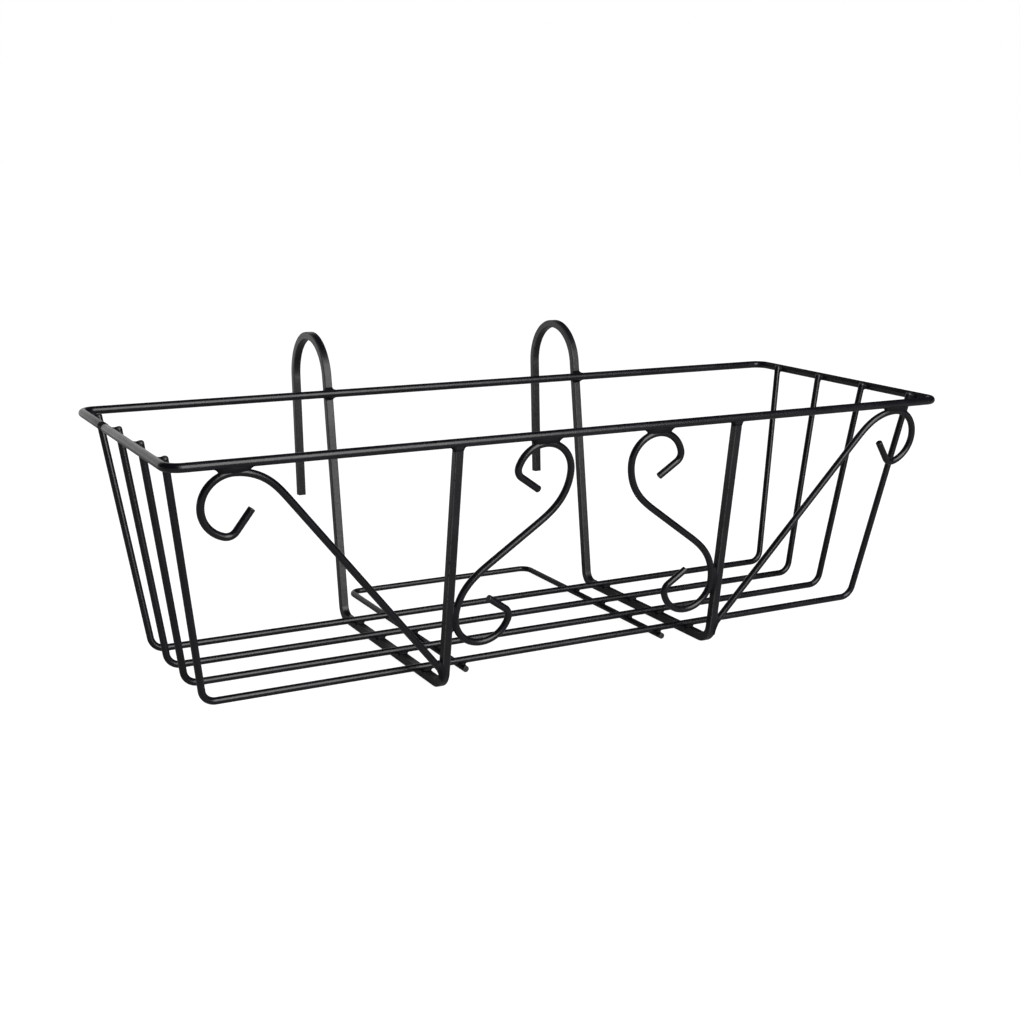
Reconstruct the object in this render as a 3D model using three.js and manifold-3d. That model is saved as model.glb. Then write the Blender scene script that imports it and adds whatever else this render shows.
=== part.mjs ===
// A welded steel holder that hangs a window box on a railing.
// A rod rim carries four basket wires; two bent square bars hook over the rail behind,
// run under the basket and rise to the rim in front, where four scrolls fill the face.
// Millimetres. +X along the box, +Y towards the rail, +Z up.
// The model is worked out from the middle of the rim's centre line, then stood on its origin.

import * as THREE from 'three';
import * as BufferGeometryUtils from 'three/addons/utils/BufferGeometryUtils.js';
import Module from 'manifold-3d';

const degrees = THREE.MathUtils.degToRad;

// ---- Driving dimensions -------------------------------------------------------------------

const WELD_GAP = 0.3;             // welded pieces stand this far apart, metal to metal

// Rim: one rod bent into a rectangle and butt welded on its left side.
const RIM_LENGTH = 610;           // outside
const RIM_DEPTH = 225;            // outside
const RIM_ROD = 6;                // diameter
const RIM_CORNER = 10;            // bend radius, centre line
const RIM_SEAM_Y = 41;            // butt weld, behind the middle of the left side

// Basket: wires bent into a trough that hangs on the inside of the rim's two ends.
const WIRE_COUNT = 4;
const WIRE = 5;                   // diameter
const WIRE_BEND = 10;             // bend radius, centre line
const WIRE_TIP_RISE = 3;          // wire ends above the rim's centre line
const BASKET_DROP = 167;          // rim's centre line to the floor wires' centre line
const FLOOR_LENGTH = 542;         // between the corners of a wire's centre line
const FRONT_WIRE_AT_RIM = 24.6;   // first wire behind the rim's front, centre lines
const REAR_WIRE_AT_RIM = 31.4;    // last wire in front of the rim's back
const FRONT_WIRE_AT_FLOOR = 27.4; // first wire behind the foot of the front legs
const REAR_WIRE_AT_FLOOR = 29.8;  // last wire in front of the foot of the back legs

// Brackets: square bar, in one piece from the rail hook to the front of the rim.
const BAR = 6;                    // across the flats
const BAR_EDGE = 0.7;             // rounding of the rolled edges
const BAR_SPACING = 222.6;        // between the two brackets
const FRONT_LEAN = degrees(7.1);  // from upright, the front leg
const BACK_LEAN = degrees(9);     // from upright, the back leg
const FRONT_BEND = 12;            // bend radii, centre line
const REAR_BEND = 10;
const CROWN_RADIUS = 34;          // hook over the rail, centre line
const CROWN_RISE = 40;            // top of the hook above the rim's centre line
const FREE_LEG_LENGTH = 98;       // straight end behind the rail
const FREE_LEG_LEAN = degrees(3.8);

// Spacer: a wire under the floor that keeps the box off the balusters or the wall.
const SPACER_WIRE = 4.6;          // diameter
const SPACER_WIDTH = 166;         // between its legs
const SPACER_BEND = 8;            // bend radius, centre line
const SPACER_REACH = 35;          // behind the rim's back centre line
const SPACER_OVERHANG = 6;        // leg ends, in front of the front floor wire

// Scrolls: round rod in the plane of the front legs. Both kinds end in the same curl.
const SCROLL_ROD = 5;             // diameter
const CURL_RADIUS = 20.8;         // round part of a curl, centre line
const CURL_TURN = degrees(163);
const TIP_RADIUS = 7;             // tight bend before the curl's straight end
const TIP_TURN = degrees(72);
const TIP_LENGTH = 17;
const OUTER_CURL_INSET = 41;      // curl's centre from the rim's end centre line
const OUTER_SHOULDER = 37.6;      // easy bend from the long straight into the curl
const OUTER_FOOT_HEIGHT = 13.4;   // foot of the long straight above the arm's centre line
const INNER_CURL_OFFSET = 45.2;   // upper curl's centre from the middle of the box
const INNER_SHOULDER = 37.8;      // easy bend from the curl into the middle of the S
const LOWER_CURL_HEIGHT = 49.9;   // lower curl's centre above the arm's centre line

// How finely round things are cut into flats.
const ROD_SIDES = 12;
const BEND_TOLERANCE = 0.15;      // largest gap between a bend's arc and its chords

// ---- Positions that follow from them ------------------------------------------------------

const rimHalfLength = (RIM_LENGTH - RIM_ROD) / 2;
const rimHalfDepth = (RIM_DEPTH - RIM_ROD) / 2;
const floorUnderside = -BASKET_DROP - WIRE / 2;
const armLevel = floorUnderside - WELD_GAP - BAR / 2;
const barX = BAR_SPACING / 2;
const frontLegLength = -armLevel / Math.cos(FRONT_LEAN);

/** The back leg's centre line at a height: it passes behind the rim, clear of it by the weld. */
function backLegAt(height) {
  return rimHalfDepth + height * Math.tan(BACK_LEAN)
    + (RIM_ROD / 2 + WELD_GAP + BAR / 2) / Math.cos(BACK_LEAN);
}

// Where the two legs of a bracket meet its arm, and where the wires cross rim and floor.
const frontFootY = -rimHalfDepth - armLevel * Math.tan(FRONT_LEAN);
const backFootY = backLegAt(armLevel);
const wiresAtRim = [-rimHalfDepth + FRONT_WIRE_AT_RIM, rimHalfDepth - REAR_WIRE_AT_RIM];
const wiresAtFloor = [frontFootY + FRONT_WIRE_AT_FLOOR, backFootY - REAR_WIRE_AT_FLOOR];

// ---- Bending rod --------------------------------------------------------------------------

/** A rod's centre line drawn in its own plane as a bender makes it: feeds and bends. */
class BentLine {
  constructor(start, heading) {
    this.end = start.clone();
    this.heading = heading;
    this.pieces = [];
  }

  feed(length) {
    const from = this.end.clone();
    this.end.add(polar(length, this.heading));
    this.pieces.push(new THREE.LineCurve(from, this.end.clone()));
    return this;
  }

  /** A positive turn bends to the left of the way the rod runs. */
  bend(radius, turn) {
    const towardsCentre = this.heading + Math.sign(turn) * Math.PI / 2;
    const centre = this.end.clone().add(polar(radius, towardsCentre));
    const from = towardsCentre + Math.PI;
    const to = from + turn;
    this.pieces.push(new THREE.EllipseCurve(centre.x, centre.y, radius, radius, from, to, turn < 0));
    this.end.copy(centre).add(polar(radius, to));
    this.heading += turn;
    return this;
  }

  /** The curl at a scroll's end; side is 1 to curl left and -1 to curl right. */
  curl(side) {
    return this.bend(CURL_RADIUS, side * CURL_TURN).bend(TIP_RADIUS, side * TIP_TURN).feed(TIP_LENGTH);
  }

  /** Straight runs through the corners, with the inner corners bent to the given radii. */
  static through(corners, radii) {
    const runs = corners.slice(1).map((corner, i) => corner.clone().sub(corners[i]));
    const line = new BentLine(corners[0], runs[0].angle());
    let used = 0;
    radii.forEach((radius, i) => {
      const turn = Math.atan2(runs[i].cross(runs[i + 1]), runs[i].dot(runs[i + 1]));
      const setback = radius * Math.tan(Math.abs(turn) / 2);
      line.feed(runs[i].length() - used - setback).bend(radius, turn);
      used = setback;
    });
    return line.feed(runs[runs.length - 1].length() - used);
  }
}

/** A bent line laid in a plane, with a station at each end of a straight and along each bend. */
class RodAxis extends THREE.Curve {
  constructor(line, plane) {
    super();
    this.stations = [];
    for (const piece of line.pieces) {
      const steps = piece.isLineCurve ? 1 : bendSteps(piece);
      for (let i = this.stations.length ? 1 : 0; i <= steps; i++) {
        const point = piece.getPoint(i / steps);
        const tangent = piece.getTangent(i / steps);
        this.stations.push({
          point: new THREE.Vector3(point.x, point.y, 0).applyMatrix4(plane),
          tangent: new THREE.Vector3(tangent.x, tangent.y, 0).transformDirection(plane),
        });
      }
    }
    this.steps = this.stations.length - 1;
  }

  getPointAt(u) {
    return this.stations[Math.round(u * this.steps)].point.clone();
  }

  getTangentAt(u) {
    return this.stations[Math.round(u * this.steps)].tangent.clone();
  }
}

function polar(length, angle) {
  return new THREE.Vector2(length * Math.cos(angle), length * Math.sin(angle));
}

function bendSteps(arc) {
  const turn = Math.abs(arc.aEndAngle - arc.aStartAngle);
  return Math.ceil(turn / (2 * Math.acos(1 - BEND_TOLERANCE / arc.xRadius)));
}

/** The plane through origin whose drawing axes lie along right and up. */
function planeAt(origin, right, up) {
  const normal = new THREE.Vector3().crossVectors(right, up);
  return new THREE.Matrix4().makeBasis(right, up, normal).setPosition(origin);
}

/** Heading of the line from a point that passes a circle's left side, or its right one. */
function headingPast(point, centre, radius, side) {
  const way = centre.clone().sub(point);
  return way.angle() + side * Math.asin(radius / way.length());
}

function roundSection(diameter) {
  return new THREE.Shape().absarc(0, 0, diameter / 2, 0, 2 * Math.PI);
}

function squareSection(side, edge) {
  const reach = side / 2 - edge;
  const section = new THREE.Shape().moveTo(reach, -side / 2);
  section.absarc(reach, -reach, edge, -Math.PI / 2, 0);
  section.absarc(reach, reach, edge, 0, Math.PI / 2);
  section.absarc(-reach, reach, edge, Math.PI / 2, Math.PI);
  section.absarc(-reach, -reach, edge, Math.PI, 1.5 * Math.PI);
  return section;
}

function bentRod(section, pointsPerQuarter, line, plane) {
  const axis = new RodAxis(line, plane);
  return new THREE.ExtrudeGeometry(section, {
    steps: axis.steps, curveSegments: pointsPerQuarter, bevelEnabled: false, extrudePath: axis,
  });
}

function roundRod(diameter, line, plane) {
  return bentRod(roundSection(diameter), ROD_SIDES / 2, line, plane);
}

// ---- Cutting ------------------------------------------------------------------------------

const wasm = await Module();
wasm.setup();

function solidOf(geometry) {
  const bare = new THREE.BufferGeometry();
  bare.setAttribute('position', geometry.attributes.position.clone());
  if (geometry.index) bare.setIndex(geometry.index.clone());
  const merged = BufferGeometryUtils.mergeVertices(bare, 1e-4);
  return new wasm.Manifold(new wasm.Mesh({
    numProp: 3,
    vertProperties: new Float32Array(merged.attributes.position.array),
    triVerts: new Uint32Array(merged.index.array),
  }));
}

/** The geometry less everything on the tool's side of a sawn face. */
function sawn(geometry, tool) {
  const mesh = solidOf(geometry).subtract(solidOf(tool)).getMesh();
  const cut = new THREE.BufferGeometry();
  cut.setAttribute('position', new THREE.BufferAttribute(mesh.vertProperties, 3));
  cut.setIndex(new THREE.BufferAttribute(mesh.triVerts, 1));
  cut.computeVertexNormals();
  return cut;
}

// ---- Pieces -------------------------------------------------------------------------------

const X = new THREE.Vector3(1, 0, 0);
const Y = new THREE.Vector3(0, 1, 0);
const Z = new THREE.Vector3(0, 0, 1);
const model = new THREE.Group();

function addPiece(name, geometry, finish) {
  const mesh = new THREE.Mesh(geometry, new THREE.MeshStandardMaterial(finish));
  mesh.name = name;
  model.add(mesh);
}

const blackRod = { color: 0x1c1c1f, roughness: 0.42, metalness: 0.25 };
const blackBar = { color: 0x202022, roughness: 0.48, metalness: 0.25 };

function addRim() {
  const left = -rimHalfLength;
  const corners = [
    new THREE.Vector2(left, RIM_SEAM_Y - WELD_GAP / 2),
    new THREE.Vector2(left, -rimHalfDepth),
    new THREE.Vector2(rimHalfLength, -rimHalfDepth),
    new THREE.Vector2(rimHalfLength, rimHalfDepth),
    new THREE.Vector2(left, rimHalfDepth),
    new THREE.Vector2(left, RIM_SEAM_Y + WELD_GAP / 2),
  ];
  const line = BentLine.through(corners, Array(4).fill(RIM_CORNER));
  addPiece('rim', roundRod(RIM_ROD, line, planeAt(new THREE.Vector3(), X, Y)), blackRod);
}

/** One wire of the trough; place runs from 0 at the front wire to 1 at the rear one. */
function addBasketWire(name, place) {
  const atRim = new THREE.Vector3(0, THREE.MathUtils.lerp(...wiresAtRim, place), 0);
  const atFloor = new THREE.Vector3(0, THREE.MathUtils.lerp(...wiresAtFloor, place), -BASKET_DROP);
  const down = atFloor.clone().sub(atRim);
  const drop = down.length();

  // The side runs from the floor corner past the inside of the rim's end.
  const floorCorner = new THREE.Vector2(FLOOR_LENGTH / 2, -drop);
  const rimEnd = new THREE.Vector2(rimHalfLength, 0);
  const side = headingPast(floorCorner, rimEnd, (RIM_ROD + WIRE) / 2 + WELD_GAP, 1);
  const tip = floorCorner.clone().add(polar((drop + WIRE_TIP_RISE) / Math.sin(side), side));

  const mirrored = (point) => new THREE.Vector2(-point.x, point.y);
  const corners = [mirrored(tip), mirrored(floorCorner), floorCorner, tip];
  const line = BentLine.through(corners, [WIRE_BEND, WIRE_BEND]);
  const plane = planeAt(atRim, X, down.normalize().negate());
  addPiece(name, roundRod(WIRE, line, plane), blackRod);
}

/** A bracket's centre line, drawn with the rail to the right. */
function bracketLine() {
  const frontTop = new THREE.Vector2(-rimHalfDepth, 0)
    .add(polar(RIM_ROD / 2 + WELD_GAP, FRONT_LEAN - Math.PI / 2));
  const frontFoot = new THREE.Vector2(frontFootY, armLevel);
  const backFoot = new THREE.Vector2(backFootY, armLevel);
  const crownStart = CROWN_RISE - CROWN_RADIUS * (1 - Math.sin(BACK_LEAN));
  const backTop = new THREE.Vector2(backLegAt(crownStart), crownStart);

  return BentLine.through([frontTop, frontFoot, backFoot, backTop], [FRONT_BEND, REAR_BEND])
    .bend(CROWN_RADIUS, BACK_LEAN - FREE_LEG_LEAN - Math.PI)
    .feed(FREE_LEG_LENGTH);
}

function addBracket(name, side) {
  const plane = planeAt(new THREE.Vector3(side * barX, 0, 0), Y, Z);
  addPiece(name, bentRod(squareSection(BAR, BAR_EDGE), 1, bracketLine(), plane), blackBar);
}

function addWallSpacer() {
  const level = floorUnderside - WELD_GAP - SPACER_WIRE / 2;
  const front = wiresAtFloor[0] - SPACER_OVERHANG;
  const rear = rimHalfDepth + SPACER_REACH;
  const half = SPACER_WIDTH / 2;
  const corners = [
    new THREE.Vector2(-half, front), new THREE.Vector2(-half, rear),
    new THREE.Vector2(half, rear), new THREE.Vector2(half, front),
  ];
  const line = BentLine.through(corners, [SPACER_BEND, SPACER_BEND]);
  const plane = planeAt(new THREE.Vector3(0, 0, level), X, Y);
  addPiece('wall_spacer', roundRod(SPACER_WIRE, line, plane), blackRod);
}

// The scrolls are drawn in the sloping plane of the front legs: across is measured from the
// middle of the box towards one end, and down the legs is negative, from the rim's centre line.
const scrollTop = -(RIM_ROD / 2 + WELD_GAP + SCROLL_ROD / 2);
const upperCurlLevel = scrollTop - CURL_RADIUS;

function scrollPlane(side) {
  const upTheLeg = new THREE.Vector3(0, -Math.sin(FRONT_LEAN), Math.cos(FRONT_LEAN));
  return planeAt(new THREE.Vector3(0, -rimHalfDepth, 0), X.clone().multiplyScalar(side), upTheLeg);
}

/** From the outer flat of the front leg a long straight rises to a curl under the rim. */
function addOuterScroll(name, side) {
  const curlAcross = rimHalfLength - OUTER_CURL_INSET;
  const legFlat = barX + BAR / 2 + WELD_GAP;
  const foot = new THREE.Vector2(legFlat, OUTER_FOOT_HEIGHT - frontLegLength);
  const shoulder = new THREE.Vector2(curlAcross, scrollTop - OUTER_SHOULDER);
  const rise = headingPast(foot, shoulder, OUTER_SHOULDER, 1);

  // The rod starts one diameter inside the leg and is sawn off along the leg's flat.
  const start = foot.clone().sub(polar(SCROLL_ROD, rise));
  const way = shoulder.clone().sub(start);
  const run = Math.sqrt(way.lengthSq() - OUTER_SHOULDER ** 2);
  const line = new BentLine(start, rise).feed(run).bend(OUTER_SHOULDER, -rise).curl(-1);
  const rod = roundRod(SCROLL_ROD, line, scrollPlane(side));

  const sawBlock = new THREE.BoxGeometry(BAR, RIM_DEPTH, BASKET_DROP);
  sawBlock.translate(side * (legFlat - BAR / 2), -rimHalfDepth, armLevel);
  addPiece(name, sawn(rod, sawBlock), blackRod);
}

/** An S between the rim and the inner flat of the front leg, the same turned end for end. */
function addInnerScroll(name, side) {
  const upper = new THREE.Vector2(INNER_CURL_OFFSET, upperCurlLevel);
  const lowerAcross = barX - BAR / 2 - WELD_GAP - SCROLL_ROD / 2 - CURL_RADIUS;
  const lower = new THREE.Vector2(lowerAcross, LOWER_CURL_HEIGHT - frontLegLength);
  const middle = upper.clone().add(lower).divideScalar(2);

  // From the middle the rod runs straight to the shoulder, which ends upright on the curl.
  const shoulder = new THREE.Vector2(upper.x - CURL_RADIUS + INNER_SHOULDER, upper.y);
  const way = shoulder.clone().sub(middle);
  const halfRun = Math.sqrt(way.lengthSq() - INNER_SHOULDER ** 2);
  const rise = headingPast(middle, shoulder, INNER_SHOULDER, 1);
  const shoulderTurn = rise - Math.PI / 2;

  const half = new BentLine(middle, rise).feed(halfRun).bend(INNER_SHOULDER, -shoulderTurn).curl(-1);
  const line = new BentLine(half.end, half.heading + Math.PI)
    .feed(TIP_LENGTH).bend(TIP_RADIUS, TIP_TURN).bend(CURL_RADIUS, CURL_TURN)
    .bend(INNER_SHOULDER, shoulderTurn)
    .feed(2 * halfRun)
    .bend(INNER_SHOULDER, -shoulderTurn).curl(-1);
  addPiece(name, roundRod(SCROLL_ROD, line, scrollPlane(side)), blackRod);
}

addRim();
for (let i = 0; i < WIRE_COUNT; i++) {
  addBasketWire(`basket_wire_${i + 1}`, i / (WIRE_COUNT - 1));
}
for (const [hand, side] of [['left', -1], ['right', 1]]) {
  addBracket(`bracket_${hand}`, side);
  addOuterScroll(`outer_scroll_${hand}`, side);
  addInnerScroll(`inner_scroll_${hand}`, side);
}
addWallSpacer();

// The origin lies under the middle of the whole holder, on the surface that it stands on.
const bounds = new THREE.Box3().setFromObject(model);
model.position.set(0, -(bounds.min.y + bounds.max.y) / 2, -bounds.min.z);

const holder = new THREE.Group();
holder.add(model);

export default holder;
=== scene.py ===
# %% [markdown]
# # A window box holder of welded rod
#
# The real thing is a wire basket that hangs on a balcony railing: a rod rim, four trough
# wires, two square bars bent into rail hooks, a spacer wire underneath and four scrolls in
# front. Everything is steel rod, bent cold, welded and coated black. So this lesson needs
# only two kinds of shape: a section carried along a bent line, and the metal of a weld.

# %% Load the fixed frame
import math

import bpy
import numpy as np
from mathutils import Matrix, Vector


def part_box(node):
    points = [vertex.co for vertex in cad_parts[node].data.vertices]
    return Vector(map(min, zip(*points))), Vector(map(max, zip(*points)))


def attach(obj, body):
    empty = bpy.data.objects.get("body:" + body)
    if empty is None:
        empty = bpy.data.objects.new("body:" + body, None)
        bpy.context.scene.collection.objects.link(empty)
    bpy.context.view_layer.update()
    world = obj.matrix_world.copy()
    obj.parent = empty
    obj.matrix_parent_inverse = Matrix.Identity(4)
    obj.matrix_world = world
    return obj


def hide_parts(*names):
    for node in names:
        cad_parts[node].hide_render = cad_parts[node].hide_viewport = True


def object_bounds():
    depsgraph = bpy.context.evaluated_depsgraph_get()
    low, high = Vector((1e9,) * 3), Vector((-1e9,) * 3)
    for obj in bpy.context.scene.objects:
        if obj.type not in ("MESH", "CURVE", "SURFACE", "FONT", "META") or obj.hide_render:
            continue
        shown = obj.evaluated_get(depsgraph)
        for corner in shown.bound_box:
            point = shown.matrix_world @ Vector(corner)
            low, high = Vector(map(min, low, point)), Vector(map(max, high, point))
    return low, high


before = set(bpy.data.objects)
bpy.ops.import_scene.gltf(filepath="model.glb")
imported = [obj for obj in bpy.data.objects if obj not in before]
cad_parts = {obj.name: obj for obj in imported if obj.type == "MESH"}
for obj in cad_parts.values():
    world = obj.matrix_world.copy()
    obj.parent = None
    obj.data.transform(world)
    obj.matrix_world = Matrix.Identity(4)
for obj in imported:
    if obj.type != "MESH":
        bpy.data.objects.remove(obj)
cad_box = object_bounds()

print("nodes:", ", ".join(sorted(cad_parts)))
print("CAD box (m):", [[round(c, 4) for c in corner] for corner in cad_box])

# %% [markdown]
# ## The sizes of the real object
#
# The frame's rods have flats, because it is made for weighing and colliding. The picture
# wants round rods, so the same lines are bent again here, more finely. All sizes are in
# millimetres and are measured from the middle of the rim's centre line, where the object is
# symmetric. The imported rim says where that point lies, so nothing has to be fitted.

# %% Sizes in millimetres
MM = 0.001
GAP = 0.3                                   # welded pieces stand this far apart

RIM_LENGTH, RIM_DEPTH, RIM_ROD, RIM_CORNER, RIM_SEAM_Y = 610, 225, 6, 10, 41
WIRE_COUNT, WIRE, WIRE_BEND, WIRE_TIP_RISE = 4, 5, 10, 3
BASKET_DROP, FLOOR_LENGTH = 167, 542
FRONT_WIRE_AT_RIM, REAR_WIRE_AT_RIM = 24.6, 31.4
FRONT_WIRE_AT_FLOOR, REAR_WIRE_AT_FLOOR = 27.4, 29.8
BAR, BAR_EDGE, BAR_SPACING = 6, 0.7, 222.6
FRONT_LEAN, BACK_LEAN, FREE_LEG_LEAN = np.radians([7.1, 9, 3.8])
FRONT_BEND, REAR_BEND, CROWN_RADIUS, CROWN_RISE, FREE_LEG_LENGTH = 12, 10, 34, 40, 98
SPACER_WIRE, SPACER_WIDTH, SPACER_BEND, SPACER_REACH, SPACER_OVERHANG = 4.6, 166, 8, 35, 6
SCROLL_ROD, CURL_RADIUS, CURL_TURN = 5, 20.8, math.radians(163)
TIP_RADIUS, TIP_TURN, TIP_LENGTH = 7, math.radians(72), 17
OUTER_CURL_INSET, OUTER_SHOULDER, OUTER_FOOT_HEIGHT = 41, 37.6, 13.4
INNER_CURL_OFFSET, INNER_SHOULDER, LOWER_CURL_HEIGHT = 45.2, 37.8, 49.9

half_length = (RIM_LENGTH - RIM_ROD) / 2
half_depth = (RIM_DEPTH - RIM_ROD) / 2
floor_under = -BASKET_DROP - WIRE / 2
arm_level = floor_under - GAP - BAR / 2
bar_x = BAR_SPACING / 2
leg_length = -arm_level / math.cos(FRONT_LEAN)


def back_leg_y(height):
    """The back leg's centre line: it touches the rim from behind, and leans with the trough."""
    return (half_depth + height * math.tan(BACK_LEAN)
            + (RIM_ROD / 2 + GAP + BAR / 2) / math.cos(BACK_LEAN))


front_foot_y = -half_depth - arm_level * math.tan(FRONT_LEAN)
back_foot_y = back_leg_y(arm_level)
share = np.linspace(0, 1, WIRE_COUNT)
wires_at_rim = (1 - share) * (FRONT_WIRE_AT_RIM - half_depth) + share * (half_depth - REAR_WIRE_AT_RIM)
wires_at_floor = ((1 - share) * (front_foot_y + FRONT_WIRE_AT_FLOOR)
                  + share * (back_foot_y - REAR_WIRE_AT_FLOOR))

rim_low, rim_high = (np.array(corner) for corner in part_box("rim"))
rim_middle = (rim_low + rim_high) / 2 / MM   # where the drawing's origin lies in the frame
rim_middle[0] = 0
print("middle of the rim (mm):", rim_middle.round(2))

# %% [markdown]
# ## A bender's drawing
#
# Someone who bends rod feeds it straight, bends it about a roller, and feeds again. A curve
# object could hold the same line, but its bends would only look like arcs. Here each feed
# and bend is worked out exactly, as a row of points with the heading at each. Every piece
# of this object lies in one plane, so a heading is one angle.

# %% Bent lines
STEP = math.radians(3.5)                    # a bend gets a station at least this often
EASY_STATIONS = 61                          # and a bend that starts softly has this many


def polar(length, angle):
    """Length times (cosine, sine) of the angle, for one angle or a whole array."""
    return np.stack([length * np.cos(angle), length * np.sin(angle)], axis=-1)


class BentLine:
    """Stations along a rod's centre line in its own plane: points, headings and nothing else."""

    def __init__(self, start, heading):
        self.points = np.array([start], float)
        self.headings = np.array([heading], float)

    def feed(self, length):
        """Straight on: the next station = the last one + length * the heading's direction."""
        self.points = np.vstack([self.points, self.points[-1] + polar(length, self.headings[-1])])
        self.headings = np.append(self.headings, self.headings[-1])
        return self

    def bend(self, radius, turn):
        """An arc: centre + radius * (cos a, sin a), with a running on by the turn."""
        a = self.headings[-1] - np.sign(turn) * np.pi / 2
        centre = self.points[-1] - polar(radius, a)
        turned = np.linspace(0, turn, max(2, math.ceil(abs(turn) / STEP)) + 1)[1:]
        self.points = np.vstack([self.points, centre + polar(radius, a + turned)])
        self.headings = np.append(self.headings, self.headings[-1] + turned)
        return self

    def feed_and_bend(self, length, radius, turn, ease):
        """A feed and a bend by hand, which starts softly: curvature(s) = a smooth step from 0 to
        1 / radius, 2 * ease long and centred where a plain bend would start. The heading is the
        curvature's running sum, and the path the heading's. The path then ends a little off the
        plain bend's end, and that drift is spread along it."""
        plain = BentLine(self.points[-1], self.headings[-1]).feed(length).bend(radius, turn)
        s = np.linspace(0, length + radius * abs(turn), EASY_STATIONS)
        t = np.clip((s - length) / (2 * ease) + 0.5, 0, 1)

        def running_sum(rate):
            return np.concatenate([[0], np.cumsum((rate[1:] + rate[:-1]) / 2 * np.diff(s))])

        headings = self.headings[-1] + running_sum(np.sign(turn) / radius * t * t * (3 - 2 * t))
        across, up = running_sum(np.cos(headings)), running_sum(np.sin(headings))
        path = self.points[-1] + np.stack([across, up], -1)
        path += (plain.points[-1] - path[-1]) * (s / s[-1])[:, None]
        self.points = np.vstack([self.points, path[1:]])
        self.headings = np.append(self.headings, [*headings[1:-1], plain.headings[-1]])
        return self

    def curl(self, side):
        """A scroll's end: the round curl, the tight tip bend and the straight end."""
        self.bend(CURL_RADIUS, side * CURL_TURN).bend(TIP_RADIUS, side * TIP_TURN)
        return self.feed(TIP_LENGTH)


def through(corners, radius):
    """Straight runs from corner to corner. The radius may be one number, or one per corner.
    A bend takes radius * tan(turn / 2) off both of the runs that it joins."""
    corners = np.array(corners, float)
    runs = np.diff(corners, axis=0)
    lengths = np.linalg.norm(runs, axis=1)
    headings = np.unwrap(np.arctan2(runs[:, 1], runs[:, 0]))
    turns = np.diff(headings)
    radii = np.broadcast_to(radius, turns.shape)
    set_back = radii * np.tan(np.abs(turns) / 2)
    line = BentLine(corners[0], headings[0])
    for i, turn in enumerate(turns):
        line.feed(lengths[i] - set_back[i] - (set_back[i - 1] if i else 0)).bend(radii[i], turn)
    return line.feed(lengths[-1] - set_back[-1])


def plane(origin, right, up):
    """A drawing's plane: its origin, its two axes and its normal, as rows."""
    right, up = np.array(right, float), np.array(up, float)
    return np.array([origin, right, up, np.cross(right, up)], float)


def heading_past(point, centre, radius, side):
    """The heading from a point that just clears a circle, on its left (1) or right (-1) side:
    the heading to the centre, turned by the angle whose sine is radius / distance."""
    way = np.subtract(centre, point)
    return math.atan2(way[1], way[0]) + side * math.asin(radius / math.hypot(*way))


square_bend = BentLine((0, 0), 0).bend(WIRE_BEND, np.pi / 2)
print("a square bend of", WIRE_BEND, "mm radius ends at", square_bend.points[-1].round(2),
      "after", len(square_bend.points) - 1, "steps")

# %% [markdown]
# ## A section carried along the line
#
# The surface of a rod is a function of two numbers: how far along the line, and where round
# the section. In a plane the section never twists: its first axis is the line's normal and
# its second is the plane's own normal. At both ends the section shrinks over a quarter of a
# circle, as a cropped rod's edge does once it is coated, and then closes in one point.
#
# Each point also carries a number called worn: 1 on the edges that hands, boxes and rails rub
# first, 0 elsewhere. The coating reads it later, so that wear lies along the real edges.

# %% Sweep
ROUND_POINTS = 28
EDGE_POINTS = 6                             # round each rolled edge of the square bar
BESIDE_EDGE = 0.25                          # how far in on a flat its first point lies
END_EDGE = 0.45                             # rounding of a cropped end
END_RINGS = np.radians(np.arange(0, 90, 15))
END_WEAR = 0.6                              # in the middle of a cropped end


def round_section(diameter):
    """Points on a circle, none of them worn."""
    circle = np.linspace(0, 2 * np.pi, ROUND_POINTS, endpoint=False)
    return polar(diameter / 2, circle), np.zeros(ROUND_POINTS)


def square_section(side, edge):
    """A square with rounded, worn edges: a quarter circle with a point on the flat beside each
    of its ends, turned by 0, 90, 180 and 270 degrees. Those points keep the flats flat in
    shading."""
    flat = side / 2 - edge
    arc = polar(edge, np.linspace(0, np.pi / 2, EDGE_POINTS)) + flat
    corner = np.vstack([[side / 2, flat - BESIDE_EDGE], arc, [flat - BESIDE_EDGE, side / 2]])
    turns = np.arange(4) * np.pi / 2
    spin = np.array([[np.cos(turns), -np.sin(turns)], [np.sin(turns), np.cos(turns)]])
    outline = np.einsum("pi,jit->tpj", corner, spin).reshape(-1, 2)
    return outline, np.tile([0, *[1] * EDGE_POINTS, 0], 4)


def spine_of(line, edge):
    """The line's stations with the closing rings of both ends, as points, headings and the
    section's shrinking in mm. A ring at angle a lies edge * (1 - cos a) in from the end and is
    shrunk by edge * (1 - sin a)."""
    start, end = polar(1, line.headings[0]), polar(1, line.headings[-1])
    back = edge * (1 - np.cos(END_RINGS))[:, None]
    shrunk = edge * (1 - np.sin(END_RINGS))
    inner = line.points.copy()
    inner[0] += edge * start
    inner[-1] -= edge * end
    points = np.vstack([line.points[0] + back * start, inner, line.points[-1] - back[::-1] * end])
    headings = np.pad(line.headings, len(END_RINGS), mode="edge")
    return points, headings, np.concatenate([shrunk, np.zeros(len(inner)), shrunk[::-1]])


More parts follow.
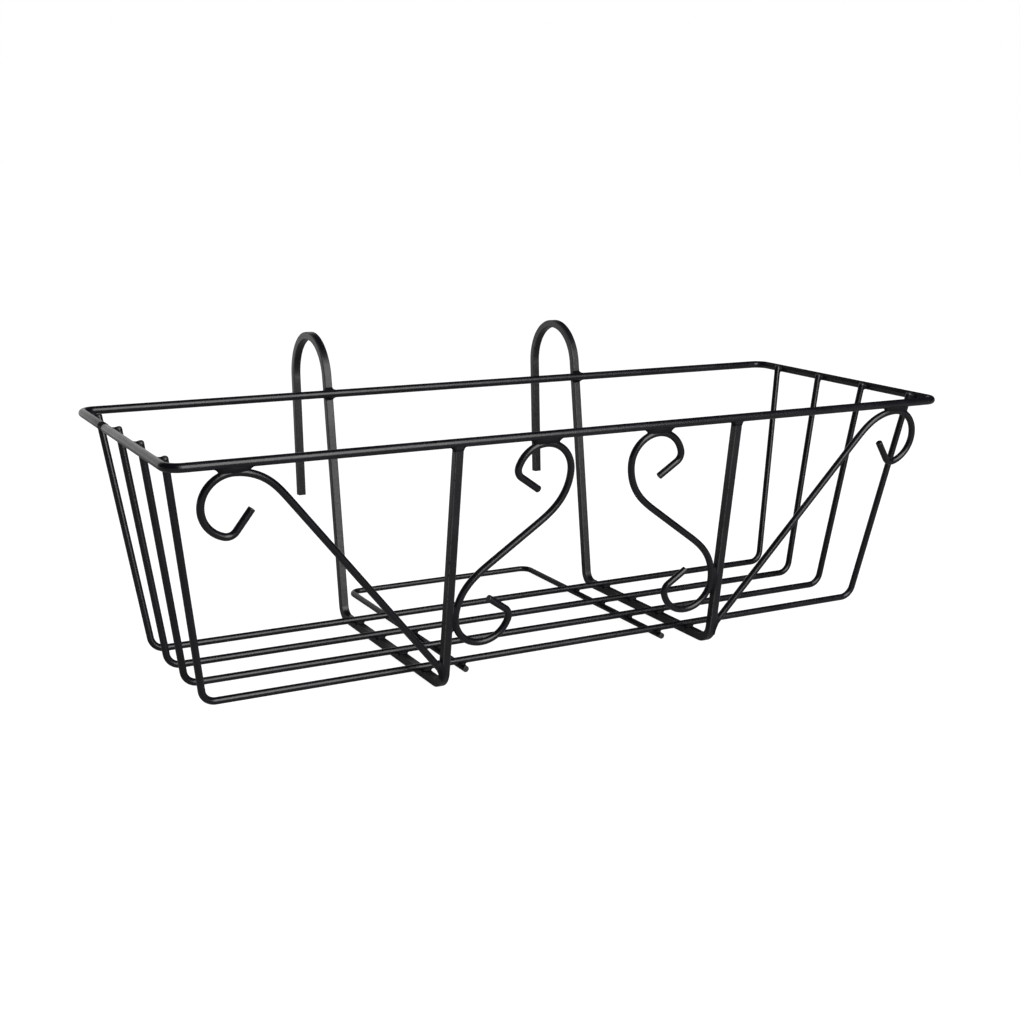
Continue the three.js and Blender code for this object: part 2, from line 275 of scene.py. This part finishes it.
def sweep(section, line, drawing, mitre, edge):
    """P(s, v) = line(s) + section_1(v) * normal(s) + section_2(v) * plane normal. Where a mitre
    is given, the first end has no closing rings: its one ring slides along the rod until it
    lies in the plane with that normal."""
    origin, right, up, out = drawing
    outline, worn = section
    spine, heading, shrunk = spine_of(line, edge)
    worn = np.maximum(worn, (shrunk > 0)[:, None] * 1.0)
    if mitre is not None:
        kept = slice(len(END_RINGS), None)
        spine, heading, shrunk, worn = spine[kept], heading[kept], shrunk[kept], worn[kept]
        spine[0] = line.points[0]
    size = (1 - shrunk / np.abs(outline).max())[:, None]
    normal = polar(1, heading + np.pi / 2)[:, None]
    flat = spine[:, None] + (size * outline[:, 0])[..., None] * normal
    if mitre is not None:
        along = polar(1, heading[0])
        slide = -((flat[0] - line.points[0]) @ mitre) / (along @ mitre)
        flat[0] += slide[:, None] * along
    ends = np.array([line.points[0], line.points[-1]])
    grid = origin + flat[..., :1] * right + flat[..., 1:] * up + (size * outline[:, 1])[..., None] * out
    poles = origin + ends[:, :1] * right + ends[:, 1:] * up
    return grid, poles, np.append(worn, [END_WEAR, END_WEAR])


print("points in a section:", ROUND_POINTS, "round,", len(square_section(BAR, BAR_EDGE)[0]), "square")

# %% [markdown]
# ## From points to a closed mesh
#
# A grid of rings becomes a mesh when each point is joined to its neighbours. A face points
# to the side from which its corners run counter-clockwise, so the volume that is worked out
# from a shell's faces says which way they point: where it is negative, they are turned round.

# %% Meshes
def closed_faces(rows, around):
    """Quads between the rings of a closed grid, and a fan of triangles to a pole at each end.
    The rings come first in the vertex list, then the two poles."""
    ring_start, column = np.meshgrid(np.arange(rows - 1) * around, np.arange(around), indexing="ij")
    following = (column + 1) % around
    here, beside = ring_start + column, ring_start + following
    quads = np.stack([here, beside, beside + around, here + around], -1)
    k, after = column[0], following[0]
    pole = np.full(around, rows * around)
    last_ring = (rows - 1) * around
    start = np.stack([pole, after, k], -1)
    end = np.stack([pole + 1, last_ring + k, last_ring + after], -1)
    return quads.reshape(-1, 4).tolist() + start.tolist() + end.tolist()


def volume(vertices, faces):
    """Six times the volume is the sum of a . (b x c) over a fan of every face."""
    total = 0.0
    for width in (3, 4):
        f = np.array([face for face in faces if len(face) == width])
        for i in range(1, width - 1):
            a, b, c = vertices[f[:, 0]], vertices[f[:, i]], vertices[f[:, i + 1]]
            total += np.einsum("ij,ij->", a, np.cross(b, c)) / 6
    return total


def closed_shell(grid, poles):
    """The vertices and faces of a grid of rings and its two poles, with its faces outwards."""
    vertices = np.vstack([grid.reshape(-1, 3), poles])
    faces = closed_faces(*grid.shape[:2])
    if volume(vertices - vertices.mean(0), faces) < 0:
        faces = [face[::-1] for face in faces]
    return vertices, faces


def make_object(name, vertices, faces, worn):
    """A smooth shaded mesh in metres in the frame. A fine bend stands up to 0.1 mm outside the
    chords of the frame's own bend, so the points are held inside the frame's box."""
    mesh = bpy.data.meshes.new(name)
    mesh.from_pydata(np.clip((vertices + rim_middle) * MM, *cad_box).tolist(), [], faces)
    mesh.polygons.foreach_set("use_smooth", np.ones(len(faces), bool))
    mesh.attributes.new("worn", "FLOAT", "POINT").data.foreach_set("value", np.asarray(worn, float))
    mesh.update()
    piece = bpy.data.objects.new(name, mesh)
    bpy.context.scene.collection.objects.link(piece)
    return piece


pieces = {}


def rod_piece(node, section, line, drawing, mitre=None, edge=END_EDGE):
    """Bends one rod, gives it its node's place on the frame, and says how well the two agree."""
    grid, poles, worn = sweep(section, line, drawing, mitre, edge)
    vertices, faces = closed_shell(grid, poles)
    pieces[node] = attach(make_object(node + "_rod", vertices, faces, worn), "root")
    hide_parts(node)
    length = np.linalg.norm(np.diff(line.points, axis=0), axis=1).sum()
    placed = np.array([vertices.min(0), vertices.max(0)]) + rim_middle
    off = np.abs(placed - np.array(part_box(node)) / MM).max()
    print(f"{node}: {length:.0f} mm of rod, {len(faces)} faces, box within {off:.2f} mm")


X, Y, Z = np.eye(3)

# %% [markdown]
# ## The rim
#
# One rod goes round the top and meets itself on the left side. The two ends are butted and
# welded, and the joint stays visible as a rough dark sleeve of weld metal.

# %% Rim
rim_plane = plane((0, 0, 0), X, Y)
rim_line = through([(-half_length, RIM_SEAM_Y - GAP / 2), (-half_length, -half_depth),
                    (half_length, -half_depth), (half_length, half_depth),
                    (-half_length, half_depth), (-half_length, RIM_SEAM_Y + GAP / 2)], RIM_CORNER)
rod_piece("rim", round_section(RIM_ROD), rim_line, rim_plane)

# %% [markdown]
# ## The trough wires
#
# Each wire is a wide U. Its plane leans, because the trough is narrower at the floor, and
# its two sides rise past the inside of the rim's ends and stop a little above them. The
# side's direction follows from that: it just clears the rim's rod. The tips are rounded off
# almost to domes, so that nothing catches on them as a box goes in.

# %% Trough wires
TIP_EDGE = 1.9                              # rounding of a wire's tip
wire_tops = []
for i in range(WIRE_COUNT):
    at_rim = np.array([0, wires_at_rim[i], 0])
    down = np.array([0, wires_at_floor[i], -BASKET_DROP]) - at_rim
    drop = np.linalg.norm(down)
    corner = np.array([FLOOR_LENGTH / 2, -drop])
    side = heading_past(corner, (half_length, 0), (RIM_ROD + WIRE) / 2 + GAP, 1)
    tip = corner + polar((drop + WIRE_TIP_RISE) / math.sin(side), side)
    flip = np.array([-1, 1])
    line = through([tip * flip, corner * flip, corner, tip], WIRE_BEND)
    drawing = plane(at_rim, X, -down / drop)
    rod_piece(f"basket_wire_{i + 1}", round_section(WIRE), line, drawing, edge=TIP_EDGE)
    crossing = corner + polar(drop / math.sin(side), side)
    wire_tops.append((drawing, crossing, side))

# %% [markdown]
# ## The brackets
#
# A bracket is one square bar from end to end. From the front of the rim it runs down,
# turns under the floor wires, rises behind the rim, goes round over the railing and ends
# free behind it. Drawn from the side, that is a single bent line.

# %% Brackets
front_top = np.array([-half_depth, 0]) + polar(RIM_ROD / 2 + GAP, FRONT_LEAN - np.pi / 2)
crown_start = CROWN_RISE - CROWN_RADIUS * (1 - math.sin(BACK_LEAN))
bracket_line = through([front_top, (front_foot_y, arm_level), (back_foot_y, arm_level),
                        (back_leg_y(crown_start), crown_start)], [FRONT_BEND, REAR_BEND])
bracket_line.bend(CROWN_RADIUS, BACK_LEAN - FREE_LEG_LEAN - np.pi).feed(FREE_LEG_LENGTH)
hands = (("left", -1), ("right", 1))
for hand, sign in hands:
    rod_piece("bracket_" + hand, square_section(BAR, BAR_EDGE), bracket_line,
              plane((sign * bar_x, 0, 0), Y, Z))

# %% [markdown]
# ## The spacer
#
# A plain U lies under the floor wires. Its closed end stands out behind, where it leans on
# the balusters or the wall and keeps the box upright.

# %% Spacer
spacer_level = floor_under - GAP - SPACER_WIRE / 2
spacer_front = wires_at_floor[0] - SPACER_OVERHANG
spacer_rear = half_depth + SPACER_REACH
spacer_x = SPACER_WIDTH / 2
spacer_line = through([(-spacer_x, spacer_front), (-spacer_x, spacer_rear),
                       (spacer_x, spacer_rear), (spacer_x, spacer_front)], SPACER_BEND)
rod_piece("wall_spacer", round_section(SPACER_WIRE), spacer_line,
          plane((0, 0, spacer_level), X, Y))

# %% [markdown]
# ## The scrolls
#
# All four scrolls lie in the sloping plane of the front legs and end in the same curl. The
# outer ones rise from the foot of a leg in one long straight. The inner ones are an S that
# looks the same turned end for end, so only half of it has to be worked out. The long
# bends are pulled by hand round a former, so they start softly where the curls are tight.

# %% The outer scrolls' line
OUTER_EASE, INNER_EASE = 12, 16             # how softly the long bends start
up_leg = np.array([0, -math.sin(FRONT_LEAN), math.cos(FRONT_LEAN)])
scroll_top = -(RIM_ROD + SCROLL_ROD) / 2 - GAP
scroll_planes = {hand: plane((0, -half_depth, 0), sign * X, up_leg) for hand, sign in hands}

curl_across = half_length - OUTER_CURL_INSET
foot = np.array([bar_x + BAR / 2 + GAP, OUTER_FOOT_HEIGHT - leg_length])
shoulder = np.array([curl_across, scroll_top - OUTER_SHOULDER])
rise = heading_past(foot, shoulder, OUTER_SHOULDER, 1)
run = math.sqrt(np.sum((shoulder - foot) ** 2) - OUTER_SHOULDER ** 2)
outer_line = BentLine(foot, rise).feed_and_bend(run, OUTER_SHOULDER, -rise, OUTER_EASE).curl(-1)
print("an outer scroll rises at", round(math.degrees(rise), 1), "degrees")

# %% The inner scrolls' line
upper = np.array([INNER_CURL_OFFSET, scroll_top - CURL_RADIUS])
lower = np.array([bar_x - BAR / 2 - GAP - SCROLL_ROD / 2 - CURL_RADIUS, LOWER_CURL_HEIGHT - leg_length])
middle = (upper + lower) / 2
shoulder = upper + (INNER_SHOULDER - CURL_RADIUS, 0)
half_run = math.sqrt(np.sum((shoulder - middle) ** 2) - INNER_SHOULDER ** 2)
steep = heading_past(middle, shoulder, INNER_SHOULDER, 1)
half_s = BentLine(middle, steep)
half_s.feed_and_bend(half_run, INNER_SHOULDER, np.pi / 2 - steep, INNER_EASE).curl(-1)
inner_line = BentLine(middle, steep)
inner_line.points = np.vstack([(2 * middle - half_s.points)[:0:-1], half_s.points[1:]])
inner_line.headings = np.concatenate([half_s.headings[:0:-1], half_s.headings[1:]])

print("an inner scroll crosses its middle at", round(math.degrees(steep), 1), "degrees")

# %% All four scrolls
leg_side = np.array([1.0, 0.0])             # the normal of the face that a foot is cut along
for hand, drawing in scroll_planes.items():
    rod_piece("outer_scroll_" + hand, round_section(SCROLL_ROD), outer_line, drawing, mitre=leg_side)
    rod_piece("inner_scroll_" + hand, round_section(SCROLL_ROD), inner_line, drawing)

# %% [markdown]
# ## The welds
#
# Where two rods meet, the real object has a small fillet of weld metal under the coating.
# Each rod is described by its distance function: negative inside, positive outside. The
# smooth minimum of two such functions describes both rods with a fillet between them, so a
# weld is the surface where that minimum is just below nought. It is found by walking out
# from the contact in every direction, inside an egg that is as long as the weld's bead. The
# fillet fades to nothing at the egg's shell, where the surface lies just under the rods.

# %% Distance functions
BAR_STRETCH = 60                            # length of bar that a weld takes note of


def cylinder(point, along, diameter, end=np.inf):
    """Distance to a long straight rod: how far off its axis, less its radius. Past its end it
    is the distance to a ball of the same radius."""
    along = np.array(along, float) / np.linalg.norm(along)

    def distance(p):
        away = p - point
        foot_of_p = np.minimum(away @ along, end)[..., None] * along
        return np.linalg.norm(away - foot_of_p, axis=-1) - diameter / 2
    return distance


def ring(centre, axis, radius, diameter):
    """Distance to a rod bent into a circle."""
    axis = np.array(axis, float) / np.linalg.norm(axis)

    def distance(p):
        away = p - centre
        height = away @ axis
        flat = np.linalg.norm(away - height[..., None] * axis, axis=-1)
        return np.hypot(flat - radius, height) - diameter / 2
    return distance


def bar(middle_point, along, other_side):
    """Distance to a stretch of square bar with rounded edges. Along and the direction of one of
    its sides are square to each other."""
    axes = np.array([other_side, np.cross(along, other_side), along])
    half = np.array([BAR / 2, BAR / 2, BAR_STRETCH / 2])

    def distance(p):
        q = np.abs((p - middle_point) @ axes.T) - (half - BAR_EDGE)
        outside = np.linalg.norm(np.maximum(q, 0), axis=-1)
        return outside + np.minimum(q.max(-1), 0) - BAR_EDGE
    return distance


rim_front = cylinder((0, -half_depth, 0), X, RIM_ROD)
rim_back = cylinder((0, half_depth, 0), X, RIM_ROD)
print("the rim's middle lies", rim_front(np.zeros(3)), "mm from the front rod's surface")

# %% Welds from the smooth minimum
WELD_GRID = (44, 26)                        # longitudes, latitudes
WELD_SINK = 0.06                            # how far a weld's surface lies below the rods'
HALVINGS = 20
weld_shells = {}


def weld(group, contact, first, second, along, fillet, long, wide):
    """On the ray p(r) = contact + r * (long * along * sin(lat) + wide * across * cos(lat)), r
    solves min(a, b) - h^2 * f / 4 = -sink, where h = 1 - |a - b| / f, not below 0, and the
    fillet f fades by 1 - r^4. Halving the interval finds r for all rays at once."""
    around, rings = WELD_GRID
    lon, lat = np.meshgrid(np.linspace(0, 2 * np.pi, around, endpoint=False),
                           np.linspace(-np.pi / 2, np.pi / 2, rings + 2)[1:-1])
    along = np.array(along, float) / np.linalg.norm(along)
    side = np.cross(along, (0.3, 0.5, 0.8))  # any direction that no weld lies along
    side /= np.linalg.norm(side)
    across = np.cos(lon)[..., None] * side + np.sin(lon)[..., None] * np.cross(along, side)
    rays = wide * np.cos(lat)[..., None] * across + long * np.sin(lat)[..., None] * along
    rays = np.vstack([rays.reshape(-1, 3), -long * along, long * along])
    low, high = np.zeros(len(rays)), np.ones(len(rays))
    for _ in range(HALVINGS):
        r = (low + high) / 2
        p = contact + r[:, None] * rays
        a, b = first(p), second(p)
        f = fillet * (1 - r ** 4)
        h = np.maximum(1 - np.abs(a - b) / f, 0)
        inside = np.minimum(a, b) - h ** 2 * f / 4 + WELD_SINK < 0
        low, high = np.where(inside, r, low), np.where(inside, high, r)
    points = contact + low[:, None] * rays
    shell = closed_shell(points[:-2].reshape(rings, around, 3), points[-2:])
    weld_shells.setdefault(group, []).append(shell)


def place(drawing, point):
    """A drawing's point in space."""
    return drawing[0] + point[0] * drawing[1] + point[1] * drawing[2]


# %% Welds of the wires and the spacer
for drawing, crossing, side in wire_tops:
    for sign in (-1, 1):
        wire_way = np.array([sign * math.cos(side), 0, 0]) + math.sin(side) * drawing[2]
        wire_point = place(drawing, (sign * crossing[0], crossing[1]))
        rim_point = np.array([sign * half_length, wire_point[1], 0])
        contact = wire_point + (rim_point - wire_point) * (WIRE + GAP) / (WIRE + RIM_ROD + 2 * GAP)
        tip = WIRE_TIP_RISE / math.sin(side) - WIRE / 2
        weld("rim_welds", contact, cylinder(wire_point, wire_way, WIRE, tip),
             cylinder(rim_point, Y, RIM_ROD), Y, fillet=4.2, long=7, wide=5.5)

for y in wires_at_floor:
    wire = cylinder((0, y, -BASKET_DROP), X, WIRE)
    for sign in (-1, 1):
        arm = bar((sign * bar_x, y, arm_level), Y, X)
        contact = np.array([sign * bar_x, y, floor_under - GAP / 2])
        weld("floor_welds", contact, wire, arm, X, fillet=3.6, long=6.5, wide=4.6)
        leg = cylinder((sign * spacer_x, y, spacer_level), Y, SPACER_WIRE)
        contact = np.array([sign * spacer_x, y, floor_under - GAP / 2])
        weld("floor_welds", contact, wire, leg, X, fillet=3.2, long=5.5, wide=4.2)
print({group: len(shells) for group, shells in weld_shells.items()})

# %% Welds of the brackets
up_back = np.array([0, math.sin(BACK_LEAN), math.cos(BACK_LEAN)])
behind_rim = np.cross(up_back, X)           # from the rim straight to the back leg
for hand, sign in hands:
    top = np.array([sign * bar_x, -half_depth, 0]) - (RIM_ROD / 2 + GAP) * up_leg
    front_leg = bar(top - BAR_STRETCH / 2 * up_leg, up_leg, X)
    weld("bracket_welds", top + GAP / 2 * up_leg, front_leg, rim_front, X,
         fillet=5, long=8.5, wide=5)

    rim_there = np.array([sign * bar_x, half_depth, 0])
    back_leg = bar(rim_there + (RIM_ROD / 2 + GAP + BAR / 2) * behind_rim, up_back, X)
    weld("bracket_welds", rim_there + (RIM_ROD + GAP) / 2 * behind_rim, back_leg, rim_back, X,
         fillet=7, long=11, wide=6)
print("bracket welds:", len(weld_shells["bracket_welds"]))

# %% Welds of the scrolls
for drawing in scroll_planes.values():
    out = drawing[3]
    foot_bar = bar(place(drawing, (bar_x, foot[1])), up_leg, X)
    foot_way = place(drawing, polar(1, rise)) - drawing[0]
    straight = cylinder(place(drawing, foot), foot_way, SCROLL_ROD)
    weld("scroll_welds", place(drawing, foot - (GAP / 2, 0)), foot_bar, straight, up_leg,
         fillet=4.5, long=10, wide=4.6)

    for across in (curl_across, INNER_CURL_OFFSET):
        curl = ring(place(drawing, (across, scroll_top - CURL_RADIUS)), out, CURL_RADIUS, SCROLL_ROD)
        contact = place(drawing, (across, -(RIM_ROD + GAP) / 2))
        weld("scroll_welds", contact, curl, rim_front, X, fillet=8, long=16, wide=4)

    curl = ring(place(drawing, lower), out, CURL_RADIUS, SCROLL_ROD)
    contact = place(drawing, (bar_x - (BAR + GAP) / 2, lower[1]))
    side_bar = bar(place(drawing, (bar_x, lower[1])), up_leg, X)
    weld("scroll_welds", contact, curl, side_bar, up_leg, fillet=7, long=15, wide=4)
print("scroll welds:", len(weld_shells["scroll_welds"]))

# %% [markdown]
# ## The rim's butt weld
#
# Where the rim's two ends meet, weld metal goes right round the rod as a low, rippled sleeve.
# It is one more closed surface: a radius that depends on the place along the rod, carried
# round it. The outer side is filed flush with the rim, which make_object's box does.

# %% The rim's butt weld
SLEEVE_HALF = 5.5                           # from its middle to its end
SLEEVE_HEIGHT, SLEEVE_ROOT = 0.34, 0.12     # of the bead, and of its ends under the rod's surface
SLEEVE_GRID = (61, 36)                      # stations along it, points round it


def sleeve():
    """radius(t) = rod - root + height * (1 - t^6) * (1 + 0.22 cos 13 pi t), t from -1 to 1."""
    t = np.linspace(-1, 1, SLEEVE_GRID[0])[:, None]
    ripples = 1 + 0.22 * np.cos(13 * np.pi * t)
    radius = RIM_ROD / 2 - SLEEVE_ROOT + SLEEVE_HEIGHT * (1 - t ** 6) * ripples
    angle = np.linspace(0, 2 * np.pi, SLEEVE_GRID[1], endpoint=False)
    middle_of_seam = np.array([-half_length, RIM_SEAM_Y, 0])
    grid = middle_of_seam + np.stack([radius * np.cos(angle), SLEEVE_HALF * t + 0 * angle,
                                      radius * np.sin(angle)], -1)
    return closed_shell(grid, middle_of_seam + np.outer([-1, 1], SLEEVE_HALF * Y))


weld_shells["rim_welds"].append(sleeve())
print("the sleeve stands", round(SLEEVE_HEIGHT * 1.22 - SLEEVE_ROOT, 2), "mm above the rod")

# %% Weld meshes
for group, shells in weld_shells.items():
    starts = np.cumsum([0] + [len(vertices) for vertices, _ in shells])
    vertices = np.vstack([vertices for vertices, _ in shells])
    faces = [[k + start for k in face] for start, (_, part) in zip(starts.tolist(), shells) for face in part]
    pieces[group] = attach(make_object(group, vertices, faces, np.zeros(len(vertices))), "root")
    print(f"{group}: {len(shells)} welds, {len(faces)} faces")

# %% [markdown]
# ## Writing shader maths as expressions
#
# A wrapped socket can be added, subtracted and multiplied with ordinary operators, and each
# operator adds one Math node. Every other node comes from one method.

# %% Shader expressions
class Value:
    """A socket in a node tree that can be added, subtracted and multiplied."""

    def __init__(self, graph, socket):
        self.graph, self.socket = graph, socket

    def maths(self, operation, *values):
        """One Math node: the operation on the values, in their order."""
        return self.graph.node("ShaderNodeMath", {"operation": operation},
                               dict(enumerate(values)))[0]

    def __add__(self, other): return self.maths("ADD", self, other)
    def __radd__(self, other): return self.maths("ADD", other, self)
    def __sub__(self, other): return self.maths("SUBTRACT", self, other)
    def __rsub__(self, other): return self.maths("SUBTRACT", other, self)
    def __mul__(self, other): return self.maths("MULTIPLY", self, other)
    def __rmul__(self, other): return self.maths("MULTIPLY", other, self)


class Graph:
    """The node tree of one material, or of the world."""

    def __init__(self, material):
        material.use_nodes = True
        self.tree = material.node_tree
        self.tree.nodes.clear()

    def node(self, kind, settings=None, values=None):
        """Adds a node, sets it up, fills or links its inputs, and gives all its outputs."""
        node = self.tree.nodes.new(kind)
        for key, setting in (settings or {}).items():
            setattr(node, key, setting)
        for key, value in (values or {}).items():
            if isinstance(value, Value):
                self.tree.links.new(value.socket, node.inputs[key])
            else:
                node.inputs[key].default_value = value
        return [Value(self, socket) for socket in node.outputs]


# %% [markdown]
# ## The black coating
#
# The steel is dipped or sprayed black: a semi-gloss skin with a fine orange peel, a little
# greyer where dust dries on it, and duller on the welds, where it covers rough metal. Noise
# in Object coordinates gives all of that at its real scale. The grey streaks that the
# photograph shows along the rods are reflections, so they come from the gloss and the lamp.

# %% Coating
def coating(name, shade, roughness, peel, lumps, scuffs, shine=0.5):
    """Colour = shade, from 0.7 to 1.5 times, by soft clouds and specks of dust, then towards
    grey primer where worn edges and scuffs break through. Roughness rises with the dust and
    the wear. Height = orange peel 0.8 mm across + lumps 4 mm across - the depth of the wear."""
    material = bpy.data.materials.new(name)
    g = Graph(material)
    where = g.node("ShaderNodeTexCoord")[3]     # its Object output

    def noise(scale, detail):
        return g.node("ShaderNodeTexNoise", None,
                      {"Vector": where, "Scale": scale, "Detail": detail, "Roughness": 0.55})[0]

    def ramp(value, start, end):
        return g.node("ShaderNodeMapRange", {"interpolation_type": "SMOOTHSTEP"},
                      {"Value": value, "From Min": start, "From Max": end})[0]

    def blend(share, a, b):
        return g.node("ShaderNodeMix", {"data_type": "RGBA"}, {"Factor": share, "A": a, "B": b})[2]

    clouds, specks, patches = noise(38, 3), noise(900, 2), noise(420, 4)
    dust = ramp(clouds * 0.75 + specks * 0.25, 0.36, 0.68)
    edge = g.node("ShaderNodeAttribute", {"attribute_name": "worn"})[2]     # its Factor output
    wear = ramp(edge * 0.3 + patches * 0.7 + clouds * 0.15, 0.60, 0.72) * 0.6 + ramp(patches, scuffs, 0.86)
    colour = blend(dust, (*[0.7 * c for c in shade], 1), (*[1.5 * c for c in shade], 1))
    colour = blend(wear, colour, (0.055, 0.052, 0.050, 1))
    rough = roughness - 0.05 + dust * 0.08 + specks * 0.06 + wear * 0.15
    height = noise(1300, 2) * peel + noise(260, 3) * lumps - wear * 0.25
    bump = g.node("ShaderNodeBump", None,
                  {"Strength": 0.3, "Distance": 0.0005, "Height": height})[0]
    shader = g.node("ShaderNodeBsdfPrincipled", None,
                    {"Base Color": colour, "Roughness": rough, "Normal": bump,
                     "Metallic": 0.0, "Specular IOR Level": shine})[0]
    g.node("ShaderNodeOutputMaterial", None, {"Surface": shader})
    print(f"{name}: {len(g.tree.nodes)} nodes")
    return material


rod_coating = coating("rod coating", (0.0036, 0.0035, 0.0062), 0.25, 0.5, 0.35, 0.70)
bar_coating = coating("bar coating", (0.0042, 0.0041, 0.0066), 0.32, 0.6, 0.6, 0.68)
weld_coating = coating("weld coating", (0.0036, 0.0035, 0.0060), 0.58, 0.7, 1.6, 0.68, shine=0.22)

for name, piece in pieces.items():
    if name.endswith("_welds"):
        piece.data.materials.append(weld_coating)
    elif name.startswith("bracket"):
        piece.data.materials.append(bar_coating)
    else:
        piece.data.materials.append(rod_coating)

# %% [markdown]
# ## Floor, room and lamp
#
# The photograph is a studio picture on plain white. A thin black rod shows little but what
# it reflects, so the room matters: white behind the object and dim in front of it, where
# the photographer stands. The white is only for rays that go to the eye, to a mirror image
# or through glass, so it adds no light. The light on the object is even, plus one large
# softbox in front, a little to the right, which draws the grey streaks along the rods.

# %% Floor and room
FLOOR_COLOUR, FLOOR_GLOW, LIGHT_ALL_ROUND = 0.35, 0.92, 0.28
DIM_ROOM, BRIGHT_ROOM = 0.03, 0.85          # as mirror images show it, in front and behind
FLOOR_HALF, FLOOR_LEVEL = 30, -0.0004       # metres


def eye_and_mirror(g):
    """Two masks: 1 for a ray from the eye, and 1 for a ray from a mirror image or glass."""
    rays = g.node("ShaderNodeLightPath")
    camera_ray, glossy_ray, transmission_ray = rays[0], rays[3], rays[6]
    mirror = g.node("ShaderNodeMath", {"operation": "ADD", "use_clamp": True},
                    {0: glossy_ray, 1: transmission_ray})
    return camera_ray, mirror[0]


def from_front_to_back(g, coordinates, start, end):
    """A smooth step from the dim to the bright room, by the coordinates' second number."""
    y = g.node("ShaderNodeSeparateXYZ", None, {"Vector": coordinates})[1]
    return g.node("ShaderNodeMapRange", {"interpolation_type": "SMOOTHSTEP"},
                  {"Value": y, "From Min": start, "From Max": end,
                   "To Min": DIM_ROOM, "To Max": BRIGHT_ROOM})[0]


floor_mesh = bpy.data.meshes.new("floor")
floor_mesh.from_pydata([(x * FLOOR_HALF, y * FLOOR_HALF, FLOOR_LEVEL)
                        for x, y in ((-1, -1), (1, -1), (1, 1), (-1, 1))], [], [(0, 1, 2, 3)])
floor = bpy.data.objects.new("floor", floor_mesh)
bpy.context.scene.collection.objects.link(floor)
pale = bpy.data.materials.new("pale floor")
floor_mesh.materials.append(pale)
g = Graph(pale)
eye_rays, mirror_rays = eye_and_mirror(g)
lit = g.node("ShaderNodeBsdfDiffuse", None, {"Color": (*[FLOOR_COLOUR] * 3, 1)})[0]
there = from_front_to_back(g, g.node("ShaderNodeTexCoord")[3], 0.2, 2.0)
strength = (eye_rays + mirror_rays * there) * FLOOR_GLOW
glow = g.node("ShaderNodeEmission", None, {"Color": (1, 1, 1, 1), "Strength": strength})[0]
g.node("ShaderNodeOutputMaterial", None,
       {"Surface": g.node("ShaderNodeAddShader", None, {0: lit, 1: glow})[0]})

world = bpy.data.worlds.new("white backdrop, dim room")
bpy.context.scene.world = world
g = Graph(world)
eye_rays, mirror_rays = eye_and_mirror(g)
behind = from_front_to_back(g, g.node("ShaderNodeTexCoord")[0], 0.76, 0.97)
other_rays = 1 - eye_rays - mirror_rays
strength = eye_rays + mirror_rays * behind + other_rays * LIGHT_ALL_ROUND
background = g.node("ShaderNodeBackground", None, {"Color": (1, 1, 1, 1), "Strength": strength})[0]
g.node("ShaderNodeOutputWorld", None, {"Surface": background})
print("floor:", pale.name, "- world:", world.name)

# %% Softbox
def softbox(name, stand, aim, size, brightness):
    """A rectangular lamp. Power = pi * area * the brightness that a mirror would show."""
    lamp = bpy.data.lights.new(name, "AREA")
    lamp.shape, lamp.size, lamp.size_y = "RECTANGLE", *size
    lamp.energy = math.pi * size[0] * size[1] * brightness
    thing = bpy.data.objects.new(name, lamp)
    bpy.context.scene.collection.objects.link(thing)
    thing.location = stand
    thing.rotation_euler = (Vector(aim) - Vector(stand)).to_track_quat("-Z", "Y").to_euler()
    print(f"{name}: {lamp.energy:.0f} W")


softbox("large softbox", (0.40, -2.1, 1.2), (0, 0, 0.15), (1.7, 2.3), 4.9)

# %% [markdown]
# ## The camera
#
# The photograph's camera was worked out from the object's own straight rods: it stands in
# front, to the left and a little above the rim, looking slightly down.

# %% Camera
IMAGE = 1020                                # pixels across
FOCAL_PIXELS = 1489.2                       # the lens in those pixels
SENSOR = 36
EYE_FROM_RIM = (-534.26, -952.56, 183.04)   # mm from the rim's middle
yaw, pitch, roll = np.radians([28.69, 13.54, 0.71]).tolist()
eye = (np.array(EYE_FROM_RIM) + rim_middle) * MM
forward = Vector((math.sin(yaw) * math.cos(pitch), math.cos(yaw) * math.cos(pitch), -math.sin(pitch)))
level = forward.cross(Vector((0, 0, 1))).normalized()
upward = level.cross(forward)
right = level * math.cos(roll) + upward * math.sin(roll)
above = upward * math.cos(roll) - level * math.sin(roll)
lens = bpy.data.cameras.new("camera")
lens.sensor_fit, lens.sensor_width = "HORIZONTAL", SENSOR
lens.lens = SENSOR * FOCAL_PIXELS / IMAGE
lens.clip_end = 100
camera = bpy.data.objects.new("camera", lens)
bpy.context.scene.collection.objects.link(camera)
facing = Matrix((right, above, -forward)).transposed().to_4x4()
camera.matrix_world = Matrix.Translation(eye) @ facing
bpy.context.scene.camera = camera
bpy.context.scene.view_settings.view_transform = "Standard"
print(f"camera at {[round(c, 3) for c in eye]}, lens {lens.lens:.1f} mm")

# %% [markdown]
# ## Finish
#
# The looks must not change the object's size. Here the triangles of the new pieces are counted.

# %% Finish
print("triangles:", sum(len(p.vertices) - 2 for o in pieces.values() for p in o.data.polygons))
